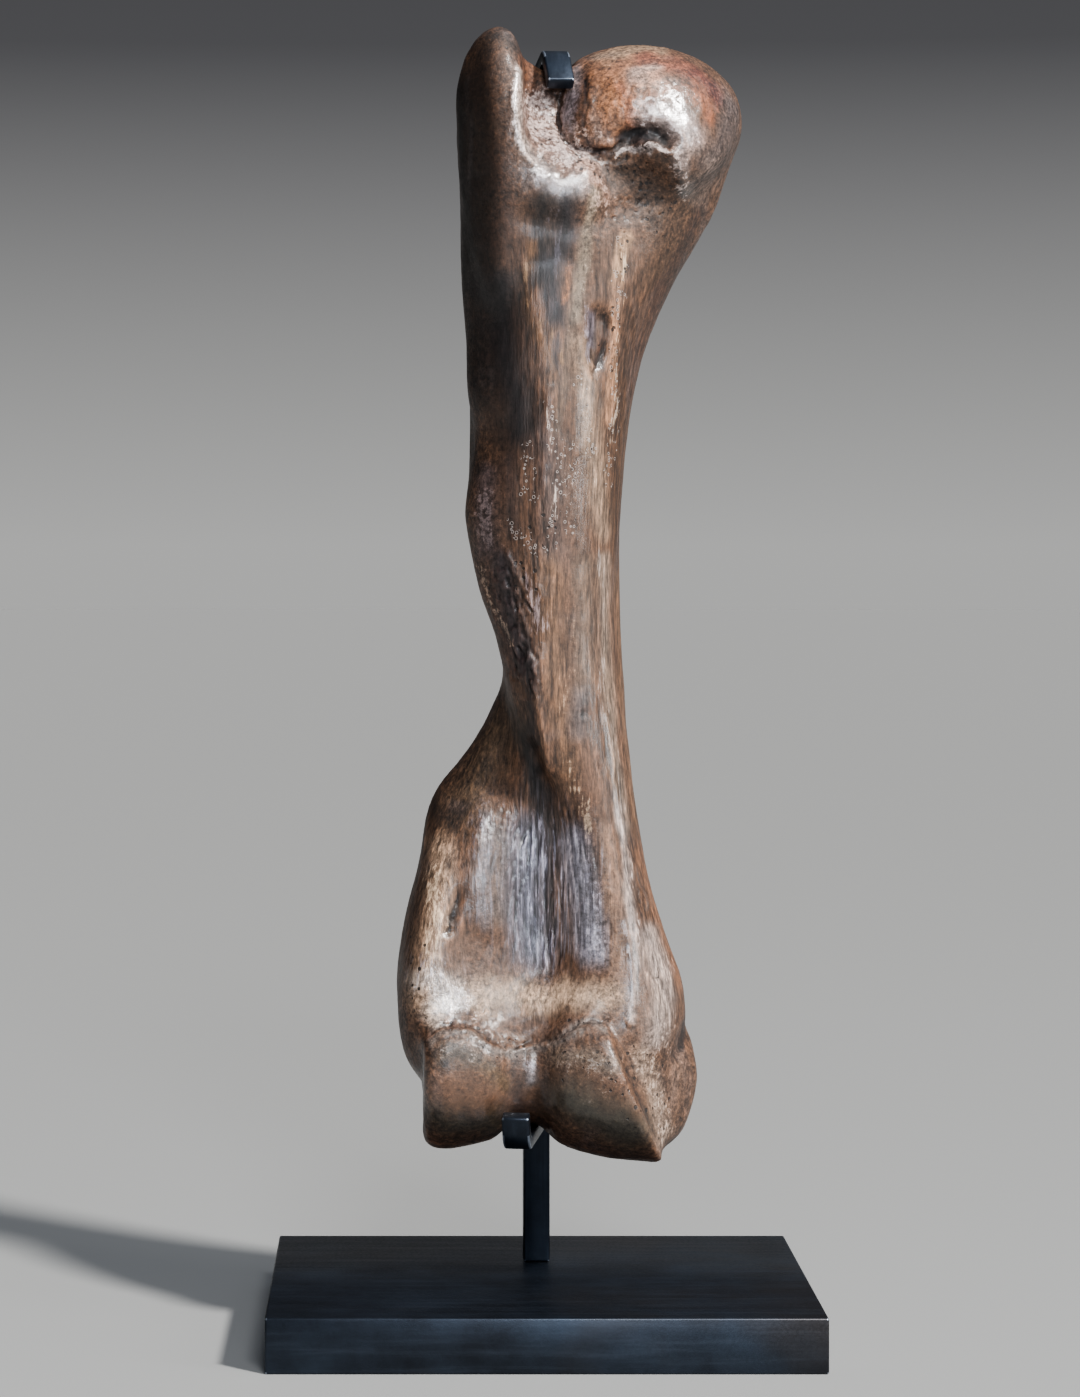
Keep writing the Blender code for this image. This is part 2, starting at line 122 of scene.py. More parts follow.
def grain(add, link, place, scale, detail=5, roughness=0.6, distortion=0.0):
    """Noise on the piece's own coordinates, with a scale for each of X, Y and Z in cycles a metre."""
    mapping = add("ShaderNodeMapping")
    mapping.inputs["Scale"].default_value = scale
    link(place, mapping.inputs["Vector"])
    texture = add("ShaderNodeTexNoise", noise_dimensions="3D")
    link(mapping.outputs[0], texture.inputs["Vector"])
    texture.inputs["Scale"].default_value = 1
    texture.inputs["Detail"].default_value = detail
    texture.inputs["Roughness"].default_value = roughness
    texture.inputs["Distortion"].default_value = distortion
    return texture.outputs["Fac"]


def blackened_steel(name, streaks):
    """Blue-black patina over steel. Streaks are cycles a metre along X, Y and Z, fewest along the run."""
    material = bpy.data.materials.new(name)
    add, link = node_maker(material)
    place = add("ShaderNodeTexCoord").outputs["Object"]
    cloud = grain(add, link, place, (16, 16, 16), 6, 0.62)
    streak = grain(add, link, place, streaks, 4, 0.6)
    speck = grain(add, link, place, (420, 420, 420), 3, 0.7)
    patina = blend_colours(add, link, "MIX", stretch(add, link, cloud, 0.35, 0.68, 0, 1),
                           shade(36, 40, 47), shade(52, 60, 71))
    warm = stretch(add, link, grain(add, link, place, (7, 7, 7), 3, 0.5), 0.52, 0.7, 0, 0.55)
    patina = blend_colours(add, link, "MIX", warm, patina, shade(58, 52, 48))
    patina = blend_colours(add, link, "MIX", stretch(add, link, streak, 0.5, 0.72, 0, 0.2),
                           patina, shade(78, 86, 98))
    edge = add("ShaderNodeAttribute", attribute_name="ground_edge").outputs["Fac"]
    worn = add("ShaderNodeMath", operation="MULTIPLY")
    link(edge, worn.inputs[0])
    link(stretch(add, link, cloud, 0.32, 0.6, 0.25, 1), worn.inputs[1])
    patina = blend_colours(add, link, "MIX", worn.outputs[0], patina, shade(150, 158, 170))
    shader = add("ShaderNodeBsdfPrincipled", Metallic=0.85)
    link(patina, shader.inputs["Base Color"])
    rough = add("ShaderNodeMath", operation="ADD")
    link(stretch(add, link, streak, 0.3, 0.7, 0.34, 0.44), rough.inputs[0])
    link(stretch(add, link, speck, 0.4, 0.7, 0.0, 0.1), rough.inputs[1])
    link(rough.outputs[0], shader.inputs["Roughness"])
    bump = add("ShaderNodeBump")
    bump.inputs["Strength"].default_value = 0.25
    bump.inputs["Distance"].default_value = 0.0003
    link(speck, bump.inputs["Height"])
    link(bump.outputs[0], shader.inputs["Normal"])
    shader.inputs["Coat Weight"].default_value = 0.15
    shader.inputs["Coat Roughness"].default_value = 0.25
    link(shader.outputs[0], add("ShaderNodeOutputMaterial").inputs["Surface"])
    return material


def mark_ground_edges(piece, widest):
    """Marks the narrow rounded faces, where grinding and handling bare the metal."""
    mark = piece.data.attributes.new("ground_edge", "FLOAT", "FACE")
    for face in piece.data.polygons:
        corners = [piece.data.vertices[i].co for i in face.vertices]
        longest = max((a - b).length for a, b in zip(corners, corners[1:] + corners[:1]))
        width = 2 * face.area / longest
        mark.data[face.index].value = 1.0 if width < widest else 0.0


for node, name, streaks in (
    ("base", "stand_base", (9, 160, 160)),
    ("post", "stand_post", (190, 190, 9)),
    ("lower_hook", "hook_under_the_elbow", (190, 60, 60)),
    ("upper_hook", "hook_over_the_top", (190, 60, 60)),
):
    piece = copy_of_node(node, name)
    mark_ground_edges(piece, 1.1 * MM)
    bpy.ops.object.shade_smooth_by_angle(angle=math.radians(25))
    piece.data.materials.clear()
    piece.data.materials.append(blackened_steel("patina_" + node, streaks))
    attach(piece, "root")
    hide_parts(node)


# ---- the bone: its surface ----
# The mammoth's right humerus, dug up, cleaned and soaked in a clear hardener. Every edge of muscle
# and joint is kept: the rim round the head, the roughened crest, the fibres of the hollow over the
# elbow and the pores where blood vessels went in. It stands in the hooks and is fixed by nothing.

bone = copy_of_node("bone", "mammoth_humerus")
round_off = bone.modifiers.new("round off", "SUBSURF")
round_off.levels = round_off.render_levels = 1
even = bone.modifiers.new("even mesh", "REMESH")
even.mode = "VOXEL"
even.voxel_size = 2.85 * MM
soft = bone.modifiers.new("soften", "SMOOTH")
soft.factor = 0.5
soft.iterations = 3
apply_modifiers(bone)

# The places with the finest relief get a mesh twice as fine: (low x, low z, high x, high z) in mm.
for low_x, low_z, high_x, high_z in (
    (-14, 816, 100, 934),
    (-46, 276, 46, 392),
    (-84, 208, 92, 240),
    (-44, 486, 2, 584),
    (-20, 425, 14, 486),
):
    only(bone)
    bpy.ops.object.mode_set(mode="EDIT")
    bpy.ops.mesh.select_mode(type="FACE")
    bpy.ops.mesh.select_all(action="DESELECT")
    bpy.ops.object.mode_set(mode="OBJECT")
    for face in bone.data.polygons:
        x, _, z = (c / MM for c in face.center)
        inside = low_x < x < high_x and low_z < z < high_z
        face.select = inside and face.normal.y < -0.25
    bpy.ops.object.mode_set(mode="EDIT")
    bpy.ops.mesh.subdivide(number_cuts=1)
    bpy.ops.object.mode_set(mode="OBJECT")


def read_surface():
    """The bone's points in mm and its normals."""
    mesh = bone.data
    points = np.empty(len(mesh.vertices) * 3, np.float32)
    mesh.vertices.foreach_get("co", points)
    normals = np.empty(len(mesh.vertices) * 3, np.float32)
    mesh.vertex_normals.foreach_get("vector", normals)
    return points.reshape(-1, 3).astype(float) / MM, normals.reshape(-1, 3).astype(float)


def write_surface(points):
    bone.data.vertices.foreach_set("co", (points * MM).astype(np.float32).ravel())
    bone.data.update()


def far_from(path, spots):
    """How far each spot is from a line of straight stretches."""
    path = np.array(path, float)
    if len(path) == 1:
        return np.linalg.norm(spots - path[0], axis=1)
    nearest = np.full(len(spots), np.inf)
    for start, end in zip(path, path[1:]):
        run = end - start
        along = np.clip((spots - start) @ run / (run @ run), 0, 1)
        nearest = np.minimum(nearest, np.linalg.norm(spots - start - along[:, None] * run, axis=1))
    return nearest


def brush(path, reach, spots):
    """Full on the path, fading to nothing at its reach."""
    near = np.clip(1 - far_from(path, spots) / reach, 0, 1)
    return near * near * (3 - 2 * near)


def wander(points, cycles, seed):
    """Smooth noise at each point, -1 to 1. Cycles are per mm along x, y and z."""
    scaled = points * np.array(cycles) + seed
    return np.array([noise.noise(Vector(p)) for p in scaled])


def carve(strokes):
    """Presses each (path, reach, depth) into the side that looks forwards. Minus raises."""
    points, normals = read_surface()
    turned = np.clip(-normals[:, 1] * 3, 0, 1)
    flat = points[:, [0, 2]].copy()
    flat[:, 0] += 1.3 * wander(points, (0.16, 0.16, 0.13), 2.9)
    flat[:, 1] += 1.6 * wander(points, (0.16, 0.16, 0.13), 7.3)
    push = np.zeros(len(points))
    for path, reach, depth in strokes:
        push += depth * brush(path, reach, flat)
    write_surface(points - normals * (push * turned)[:, None])


def relaxed(points, weight, rounds):
    """The points drawn towards the middle of their neighbours, as far as their weight says."""
    ends = np.empty(len(bone.data.edges) * 2, np.int32)
    bone.data.edges.foreach_get("vertices", ends)
    ends = ends.reshape(-1, 2)
    ways = np.bincount(ends.ravel(), minlength=len(points))[:, None]
    drawn = points.copy()
    for _ in range(rounds):
        total = np.zeros_like(drawn)
        for axis in range(3):
            total[:, axis] += np.bincount(ends[:, 0], drawn[ends[:, 1], axis], len(points))
            total[:, axis] += np.bincount(ends[:, 1], drawn[ends[:, 0], axis], len(points))
        drawn += 0.5 * weight * (total / ways - drawn)
    return drawn


chance = random.Random(11)

# The underside of the head runs smoothly into the neck.
points, normals = read_surface()
fold = brush([(88, 852), (104, 856), (120, 866), (134, 884)], 27, points[:, [0, 2]])
fold *= normals[:, 1] < 0.2
write_surface(relaxed(points, fold[:, None], 105))

# The rim of the head with the pit and its ledge, the lip of the tubercle and the floor of the notch.
rim = [(17, 930), (14, 916), (12.5, 904), (13, 895), (17, 886), (25, 880), (37, 877), (53, 877), (59, 882)]
carve([
    (rim, 3.4, 2.4),
    ([(x + 5, z + 4) for x, z in rim], 6, -1.5),
    ([(32.5, 931), (34, 924), (33, 917), (34.5, 910), (32, 902), (31, 896)], 2.4, 0.8),
    ([(37, 929), (36, 915), (35, 902)], 5, -0.7),
    ([(60, 884), (70, 890), (83, 890), (93, 883)], 12, 4.5),
    ([(66, 888), (76, 892), (86, 888)], 5, 1.6),
    ([(54, 873), (66, 879), (74, 881.5), (84, 879), (92, 875)], 4.5, -2.0),
    ([(-18.4, 933), (-20, 920), (-20.6, 909), (-19.8, 898), (-18, 886), (-14, 876), (-8, 866)], 3.6, -1.5),
    ([(-4, 846), (10, 842), (26, 843)], 26, -3.0),
    ([(-2, 868), (10, 865), (26, 868)], 10, 1.0),
    ([(-12, 930), (-13, 905), (-9, 884)], 6, 1.0),
    ([(92, 876), (101, 866), (104, 852)], 7, -1.6),
    ([(40, 866), (52, 868), (66, 867)], 5, -1.0),
])
pores = [(-9, 912), (4, 911), (0, 911.5), (-9, 903), (1, 889), (14, 893), (16, 890), (15, 898), (34, 866),
         (28, 872), (61, 819), (52, 829), (79, 851), (73, 842), (82, 837), (88, 831), (75, 828), (64, 842),
         (58, 805), (67, 856), (84, 846), (70, 834)]
for _ in range(22):
    run = chance.random()
    pores.append((-8 + 46 * run + chance.gauss(0, 5), 914 - 48 * run + chance.gauss(0, 6)))
for _ in range(12):
    pores.append((chance.gauss(70, 11), chance.gauss(848, 13)))
carve([([spot], chance.uniform(1.4, 2.2), chance.uniform(0.7, 1.8)) for spot in pores])

# The long pit in the neck's front, its shelf, and the two small vessel holes with the crack below.
carve([
    ([(40, 758), (40, 742), (38, 728)], 8, 1.2),
    ([(47, 755), (49, 744), (47, 733), (43, 722)], 5.5, 2.6),
    ([(50, 748), (49, 738), (45, 727)], 2.8, 1.6),
    ([(40, 722), (38, 714)], 2.6, 1.5),
    ([(54, 760), (55, 745), (52, 730)], 5, -0.5),
    ([(36, 752), (37, 738)], 2.5, 0.8),
    ([(30, 464)], 3.2, 3.0),
    ([(2, 250), (24, 250)], 26, -2.5),
    ([(33, 479)], 1.6, 1.6),
    ([(33, 478), (34, 465), (36, 456), (41, 440), (44, 421)], 1.5, 0.9),
    ([(82, 270), (89, 267), (90, 261)], 1.5, 1.0),
    ([(-61, 330), (-64, 318), (-68, 304)], 8, 1.6),
    ([(-60, 327), (-63, 322)], 3.0, 2.0),
    ([(-66, 316), (-64, 311)], 3.0, 1.6),
    ([(-69, 303)], 3.4, 3.2),
    ([(-57, 318), (-61, 304)], 4, -0.5),
    ([(48, 462), (53, 425), (57, 395), (61.5, 366), (69.6, 342), (77, 322)], 3.2, -1.4),
    ([(62, 309), (65.5, 283), (67, 254), (63, 238)], 3.2, -1.3),
])

# Strands of the hollow over the elbow: broken grooves that draw together upwards.
points, normals = read_surface()
flat = points[:, [0, 2]]
narrowing = 1 - 0.0042 * (flat[:, 1] - 280)
spread = np.column_stack([(flat[:, 0] - 4) / narrowing, points[:, 1] * 0, flat[:, 1]])
strand = brush([(0, 368), (0, 304)], 58, flat) * np.clip(-normals[:, 1] * 2 - 0.2, 0, 1)
depth = np.zeros(len(points))
for cycles, width, deep, seed in ((0.10, 0.16, 2.2, 4.2), (0.18, 0.18, 1.6, 9.1), (0.30, 0.3, 0.7, 13.7)):
    line = wander(spread, (cycles, 1, 0.010 + cycles * 0.04), seed)
    held = np.clip(0.35 + 1.8 * wander(spread, (0.06, 1, 0.022), seed + 20), 0, 1)
    depth += deep * held * np.clip(1 - np.abs(line) / width, 0, 1)
write_surface(points - normals * (depth * strand)[:, None])

# The roughened crest and the scar of the big shoulder muscle.
scars = []
for _ in range(60):
    z = chance.uniform(560, 700)
    x = chance.gauss(2 - (z - 630) * 0.04, 9)
    scars.append(([(x, z), (x + chance.uniform(-2, 2), z + chance.uniform(2, 8))], chance.uniform(1.6, 3.0),
                  chance.choice((0.3, 0.25, -0.25, -0.35))))
for _ in range(120):
    z = chance.uniform(486, 584)
    x = -24 + (582 - z) * 0.13 + chance.gauss(0, 8)
    scars.append(([(x, z), (x + chance.uniform(0, 5), z - chance.uniform(4, 16))], chance.uniform(1.8, 3.2),
                  chance.choice((0.8, 0.6, -0.5, -0.7))))
scars.append(([(-6, 499), (-3, 467), (6, 421)], 4, -1.0))
scars.append(([(-13, 470), (-9, 445), (-2, 420)], 6, 1.3))
carve(scars)

# The worn edge of the pulley's cover, with a broken groove above it, and its sharp inner end.
edge_of_pulley = [
    (-82, 226), (-72, 233), (-62, 234), (-53, 232), (-44, 226), (-36, 221), (-28, 218),
    (-19, 217), (-8, 219), (3, 221), (14, 226), (22, 232), (34, 237), (44, 235),
]
carve([
    (edge_of_pulley, 4.0, -0.6),
    ([(x, z + 4.5) for x, z in edge_of_pulley], 3.4, 1.4),
    ([(46, 233), (57, 217), (65, 200), (74, 182), (88, 143)], 3.5, -1.0),
    ([(108, 230), (105, 212)], 5, 1.6),
    ([(-8, 214), (-8, 197)], 5, -0.8),
])
crumbs = []
for _ in range(110):
    x, z = chance.choice(edge_of_pulley[1:])
    crumbs.append(([(x + chance.uniform(-6, 6), z + chance.uniform(-2, 8))], chance.uniform(1.2, 3.2),
                   chance.choice((0.8, 0.5, -0.4))))
carve(crumbs)

# Low unevenness all over: broad, then small, then fibres along the shaft.
points, normals = read_surface()
uneven = 0.6 * wander(points, (0.045, 0.045, 0.03), 3.1)
uneven += 0.25 * wander(points, (0.16, 0.16, 0.08), 8.7)
uneven += 0.18 * wander(points, (0.4, 0.4, 0.1), 5.3)
hammered = brush([(60, 930), (110, 900)], 62, points[:, [0, 2]])
uneven += 0.6 * hammered * wander(points, (0.12, 0.12, 0.12), 2.2)
uneven += 0.26 * hammered * wander(points, (0.3, 0.3, 0.3), 7.7)
write_surface(points + normals * uneven[:, None])
bone.data.shade_smooth()


# ---- the bone: its stains ----
# Minerals from the ground have stained it: near black on the outer side, rust and orange over the head,
# lilac grey in the hollows and cream where it was handled. Painted light is laid in with the stains: the
# near black is partly painted shade of the side turned from the light, the lilac grey over the elbow is
# partly a painted bluish sheen, and painted highlights lie on the lip, the cap, the head, the outer column,
# the inner edge and the pulley's groove. Painted shade also darkens the pits, the underside of the notch's
# lip and the lower pulley, and painted shadows fall from the head and the crest. The stains are laid with a
# brush over a mid brown, each with a ragged edge, and they soak in along the fibres.


def hollows(rounds):
    """How far each point lies below its smoothed surroundings, in mm. Ridges come out below nought."""
    points, normals = read_surface()
    return ((relaxed(points, 1.0, rounds) - points) * normals).sum(axis=1)


def keep_float(name, values):
    mask = bone.data.attributes.new(name, "FLOAT", "POINT")
    mask.data.foreach_set("value", values.astype(np.float32))


def keep_colour(name, colours):
    stored = bone.data.attributes.new(name, "FLOAT_COLOR", "POINT")
    opaque = np.column_stack([colours, np.ones(len(colours))])
    stored.data.foreach_set("color", opaque.astype(np.float32).ravel())


narrow = hollows(4) / 0.32
broad = hollows(20) / 1.4
keep_float("hollow", np.clip(0.75 * narrow + 0.25 * broad, -1, 1))

points, normals = read_surface()
ragged = points[:, [0, 2]].copy()
ragged[:, 0] += 2.2 * wander(points, (0.09, 0.09, 0.03), 1.7) + 1.1 * wander(points, (0.35, 0.35, 0.1), 4.4)
ragged[:, 1] += 6.0 * wander(points, (0.07, 0.07, 0.03), 6.2) + 2.5 * wander(points, (0.3, 0.3, 0.1), 9.9)
front = np.clip(0.5 - normals[:, 1] * 2.2, 0, 1)
back = 1 - front
stain_and_painted_light = np.tile(np.array(shade(112, 80, 58)), (len(points), 1))


def laid_over(stain_and_painted_light, colour, strength, reach, path, where):
    """The colours with one more brushed over them along a path."""
    amount = (strength * brush(path, reach, ragged) * where)[:, None]
    return stain_and_painted_light + (np.array(shade(*colour)) - stain_and_painted_light) * amount


FRONT_STAINS_AND_PAINTED_LIGHT = (
    # outer side and greater tubercle: the near black and dark brown down the outer side are partly painted
    # shade of the side turned from the light
    ((28, 20, 16), 0.95, 32, [(-62, 925), (-60, 882), (-56, 842), (-55, 779), (-54, 700)]),
    ((50, 36, 28), 0.8, 22, [(-42, 950), (-40, 900), (-40, 850), (-42, 780)]),
    ((46, 35, 28), 0.9, 16, [(-38, 962), (-29, 966), (-19, 953)]),
    ((82, 58, 42), 0.7, 15, [(-32, 938), (-28, 909), (-31, 882)]),
    ((70, 48, 36), 0.8, 18, [(-30, 868), (-26, 842), (-26, 806)]),
    # the notch: the pale line down the lip and the pale patch on the cap below it are painted highlights
    ((186, 146, 128), 0.95, 20, [(-4, 912), (2, 889), (18, 873), (30, 862)]),
    ((122, 78, 52), 0.85, 11, [(-11, 945), (-6, 926)]),
    ((206, 188, 176), 0.9, 5.5, [(-17, 935), (-18, 911), (-17, 887), (-8, 871), (2, 860)]),
    ((184, 170, 166), 0.85, 13, [(-2, 854), (12, 846), (26, 848)]),
    ((176, 132, 106), 0.8, 10, [(30, 866), (40, 858), (46, 846)]),
    # under the notch: the dark greys and the near black are partly painted shade under the notch's lip
    ((42, 40, 45), 0.9, 17, [(17, 836), (17, 815), (14, 800)]),
    ((32, 27, 25), 0.9, 17, [(0, 836), (-2, 782)]),
    ((124, 88, 54), 0.8, 7, [(-8, 806), (-14, 779), (-10, 760), (2, 729), (9, 712)]),
    ((37, 36, 43), 0.88, 14, [(6, 790), (10, 757)]),
    ((168, 108, 60), 0.7, 4, [(20, 790), (19, 777), (16, 766)]),
    ((168, 150, 128), 0.75, 7, [(40, 846), (33, 819), (27, 779), (24, 750)]),
    ((112, 92, 76), 0.7, 6, [(22, 752), (17, 707), (9, 672)]),
    # the head
    ((172, 116, 76), 0.9, 34, [(50, 938), (78, 936), (62, 915), (46, 900)]),
    ((186, 154, 122), 0.8, 10, [(44, 950), (66, 957), (90, 958)]),
    ((206, 166, 140), 0.85, 13, [(73, 929), (92, 924)]),
    ((116, 54, 38), 0.85, 12, [(112, 936), (130, 920)]),
    ((150, 84, 56), 0.85, 12, [(75, 947), (104, 941)]),
    ((166, 104, 66), 0.7, 8, [(80, 918), (97, 922), (116, 913)]),
    ((178, 116, 68), 0.6, 10, [(50, 930), (50, 908)]),
    ((178, 104, 62), 0.75, 8, [(112, 926), (122, 914), (124, 900)]),
    ((184, 108, 60), 0.75, 9, [(57, 924), (64, 908), (66, 898)]),
    ((200, 174, 160), 0.7, 9, [(68, 933), (84, 939)]),
    ((88, 50, 44), 0.75, 7, [(125, 928), (134, 914)]),
    ((98, 86, 83), 0.88, 17, [(143, 912), (136, 884), (122, 866)]),
    ((122, 108, 108), 0.9, 8, [(28, 938), (24, 918), (19, 901)]),
    ((154, 122, 104), 0.8, 9, [(38, 902), (42, 889)]),
    # pale patch on the head's front and a smaller one on the neck below: painted highlights
    ((214, 192, 184), 0.8, 18, [(78, 903), (97, 896), (109, 888)]),
    ((172, 152, 144), 0.7, 9, [(102, 878), (103, 862)]),
    # near black in the pit under the rim: painted shadow; the pale line below it: a painted highlight on
    # the ledge
    ((22, 22, 30), 0.97, 11, [(59, 884), (71, 890), (87, 886)]),
    ((196, 180, 172), 0.8, 4, [(58, 876), (73, 880), (86, 877)]),
    # dark line along the rim's crease: partly painted shade in the crease
    ((66, 44, 36), 0.9, 3.4, [(34, 930), (31, 909), (30, 889), (33, 878), (50, 876), (60, 878)]),
    # neck and inner flank
    # dark brown under the pit: partly the head's painted shadow
    ((92, 72, 58), 0.75, 24, [(56, 864), (75, 851), (84, 833)]),
    ((206, 164, 124), 0.85, 8, [(62, 812), (57, 797), (55, 779)]),
    # dark browns on the inner flank under the head: partly the head's painted shadow
    ((92, 68, 50), 0.8, 24, [(112, 851), (99, 819), (86, 784)]),
    ((66, 46, 38), 0.7, 10, [(122, 840), (104, 800), (88, 770)]),
    ((150, 128, 116), 0.6, 14, [(128, 868), (118, 850)]),
    # upper shaft
    # near black down the outer facet: partly painted shade of the facet turned from the light
    ((38, 34, 36), 0.95, 30, [(-30, 775), (-26, 725), (-18, 690), (-16, 672)]),
    ((72, 52, 40), 0.8, 10, [(-54, 768), (-54, 695), (-50, 640)]),
    ((170, 140, 114), 0.85, 13, [(28, 734), (32, 707), (36, 672), (41, 641), (46, 599)]),
    # near black in the long pit: partly painted shade
    ((40, 26, 28), 0.97, 6, [(48, 754), (48, 740), (43, 722)]),
    ((124, 116, 128), 0.85, 5.5, [(37, 756), (36, 734)]),
    ((196, 144, 104), 0.9, 7, [(54, 779), (52, 748), (52, 714), (49, 679)]),
    ((90, 62, 41), 0.92, 12, [(68, 768), (64, 725), (60, 679), (57, 622), (57, 579)]),
    ((92, 62, 46), 0.85, 12, [(92, 777), (76, 736), (70, 700)]),
    ((98, 78, 70), 0.8, 22, [(4, 663), (6, 622), (8, 581)]),
    ((70, 54, 50), 0.7, 12, [(-24, 650), (-22, 599)]),
    ((116, 98, 98), 0.75, 13, [(-40, 640), (-40, 586)]),
    # middle of the shaft
    ((72, 60, 62), 0.9, 17, [(-30, 575), (-22, 530), (-12, 500)]),
    ((64, 50, 48), 0.85, 9, [(-12, 520), (-6, 480), (-6, 440)]),
    ((118, 84, 66), 0.8, 8, [(-49, 570), (-39, 531), (-27, 498)]),
    ((132, 96, 66), 0.9, 15, [(6, 570), (8, 508), (14, 462), (20, 417)]),
    ((130, 104, 84), 0.8, 14, [(32, 575), (32, 485)]),
    ((156, 134, 116), 0.85, 8, [(46, 580), (48, 508), (53, 440), (62, 376)]),
    ((130, 94, 64), 0.8, 7, [(58, 567), (62, 485), (71, 383)]),
    ((112, 100, 98), 0.75, 12, [(29, 478), (26, 453)]),
    ((136, 100, 74), 0.8, 5, [(-4, 478), (-1, 450), (6, 421)]),
    # near black in the hollow beside the crest: partly painted shade
    ((36, 28, 25), 0.95, 10, [(-14, 449), (-6, 421), (1, 392)]),
    ((100, 80, 60), 0.8, 26, [(-30, 455), (-43, 417), (-62, 389)]),
    # dark browns down to the flange's edge: partly the crest's painted shadow
    ((66, 46, 38), 0.8, 7, [(-32, 474), (-54, 436), (-74, 416), (-84, 396)]),
    ((80, 62, 54), 0.7, 9, [(-72, 388), (-58, 394)]),
    # over the elbow
    # dark brown: partly the crest's painted shadow on the flange
    ((72, 54, 42), 0.85, 14, [(-80, 390), (-62, 380)]),
    ((190, 158, 130), 0.9, 17, [(-74, 362), (-78, 308), (-90, 256)]),
    # near white on the outer column: a painted highlight
    ((228, 208, 190), 0.9, 14, [(-90, 268), (-64, 262), (-80, 246)]),
    ((112, 98, 90), 0.75, 15, [(-28, 374), (-30, 318)]),
    ((138, 126, 126), 0.6, 9, [(-40, 384), (-42, 350), (-43, 308)]),
    # near black in the small pit: painted shade
    ((40, 28, 23), 0.95, 4.5, [(-62, 328), (-64, 318), (-68, 305)]),
    # lilac grey in the hollow is partly, and the pale grey after it wholly, a painted bluish sheen
    ((108, 110, 128), 0.92, 26, [(-8, 373), (-10, 323), (-6, 290)]),
    ((172, 168, 180), 0.95, 19, [(24, 370), (32, 323), (36, 290)]),
    ((74, 62, 60), 0.7, 12, [(4, 400), (11, 366)]),
    ((70, 62, 66), 0.5, 4, [(4, 372), (2, 340), (4, 310)]),
    ((74, 66, 68), 0.5, 4, [(20, 376), (28, 330), (30, 300)]),
    ((154, 118, 92), 0.85, 11, [(46, 375), (55, 308), (56, 262)]),
    # pale line down the inner edge: a painted highlight
    ((190, 174, 166), 0.75, 6, [(57, 394), (63, 354), (66, 308), (68, 277), (65, 240)]),
    ((190, 172, 162), 0.85, 16, [(80, 300), (90, 255), (84, 225)]),
    ((152, 102, 66), 0.85, 9, [(75, 357), (94, 301), (108, 256)]),
    ((196, 164, 134), 0.9, 18, [(-50, 258), (-3, 254), (50, 258)]),
    # near black in the vessel hole: painted shade
    ((26, 19, 16), 0.97, 4.2, [(30, 466), (30.5, 462)]),
    ((60, 44, 36), 0.6, 1.8, [(33, 478), (34, 465), (36, 456), (41, 440), (44, 421)]),
    # the pulley
    ((72, 64, 52), 0.8, 15, [(-72, 218), (-50, 214)]),
    ((100, 80, 56), 0.75, 11, [(-40, 209), (-28, 196)]),
    # dark on the lower left of the pulley: partly painted shade of the underside
    ((58, 53, 42), 0.9, 24, [(-78, 168), (-34, 164)]),
    ((76, 54, 42), 0.85, 8, [(-18, 215), (-17, 172)]),
    ((132, 114, 98), 0.8, 14, [(10, 216), (48, 212)]),
    # dark on the lower right of the pulley: partly painted shade of the underside
    ((80, 76, 64), 0.9, 28, [(18, 184), (66, 160)]),
    # small pale spot in the groove: a painted highlight
    ((176, 170, 176), 0.8, 5, [(-8, 211), (-8, 200)]),
    ((120, 108, 100), 0.85, 4.5, edge_of_pulley),
    ((178, 150, 128), 0.85, 12, [(72, 216), (84, 182), (92, 152)]),
    ((140, 104, 78), 0.75, 11, [(102, 206), (97, 168)]),
    ((56, 40, 36), 0.9, 6, [(109, 232), (106, 214)]),
)
BACK_STAINS = (
    ((70, 50, 40), 0.7, 40, [(-40, 900), (-40, 700), (-30, 600)]),
    ((150, 106, 72), 0.8, 45, [(60, 930), (110, 910), (80, 880)]),
    ((118, 66, 46), 0.7, 22, [(90, 950), (130, 900)]),
    ((190, 156, 128), 0.6, 20, [(50, 900), (80, 870)]),
    ((64, 48, 42), 0.8, 22, [(40, 836), (80, 838), (112, 846)]),
    ((130, 96, 72), 0.7, 26, [(70, 780), (50, 700), (46, 600), (44, 500)]),
    ((176, 146, 120), 0.6, 12, [(38, 720), (36, 600), (36, 480)]),
    ((88, 70, 64), 0.7, 20, [(-20, 640), (-16, 520)]),
    ((66, 54, 54), 0.9, 40, [(0, 330), (0, 240)]),
    ((148, 108, 78), 0.7, 24, [(-82, 330), (-86, 240)]),
    ((166, 124, 90), 0.7, 24, [(76, 280), (86, 200)]),
    ((94, 66, 48), 0.8, 30, [(-50, 190), (60, 170)]),
    ((108, 78, 60), 0.6, 22, [(-50, 420), (-60, 370)]),
)
for colour, strength, reach, path in FRONT_STAINS_AND_PAINTED_LIGHT:
    stain_and_painted_light = laid_over(stain_and_painted_light, colour, strength, reach, path, front)
for colour, strength, reach, path in BACK_STAINS:
    stain_and_painted_light = laid_over(stain_and_painted_light, colour, strength, reach, path, back)
keep_colour("stain_and_painted_light", stain_and_painted_light)


def keep_mask(name, strokes, where=1.0):
    """Stores how much of an effect each place gets: strokes are (strength, reach, path)."""
    amount = np.zeros(len(points))
    for strength, reach, path in strokes:
        amount = np.maximum(amount, strength * brush(path, reach, ragged))
    keep_float(name, amount * where)
